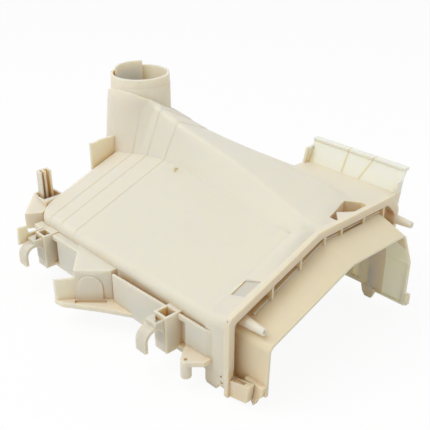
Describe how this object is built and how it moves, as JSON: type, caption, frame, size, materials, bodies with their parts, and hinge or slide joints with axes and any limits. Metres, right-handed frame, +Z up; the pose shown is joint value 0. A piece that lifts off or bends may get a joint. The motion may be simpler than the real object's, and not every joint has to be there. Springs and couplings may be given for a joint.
{
  "type": "dispenser drawer housing",
  "caption": "Thin-walled plastic housing of a washer's detergent drawer, upside down: sloping floor, water channel to a round outlet spout, flanged mouth, hose clips and a side arm.",
  "frame": {"origin": "middle of the bounding box on the ground, under the housing as it lies on its open side", "axes": "+Z up along the outlet spout, -Y towards the mouth where the drawer goes in, +X towards the side arm"},
  "size_m": [0.2324, 0.2978, 0.151],
  "materials": {
    "housing_plastic": "matte ivory polypropylene, slightly translucent"
  },
  "bodies": {
    "root": {"dispenser_housing": "housing_plastic"}
  },
  "joints": []
}
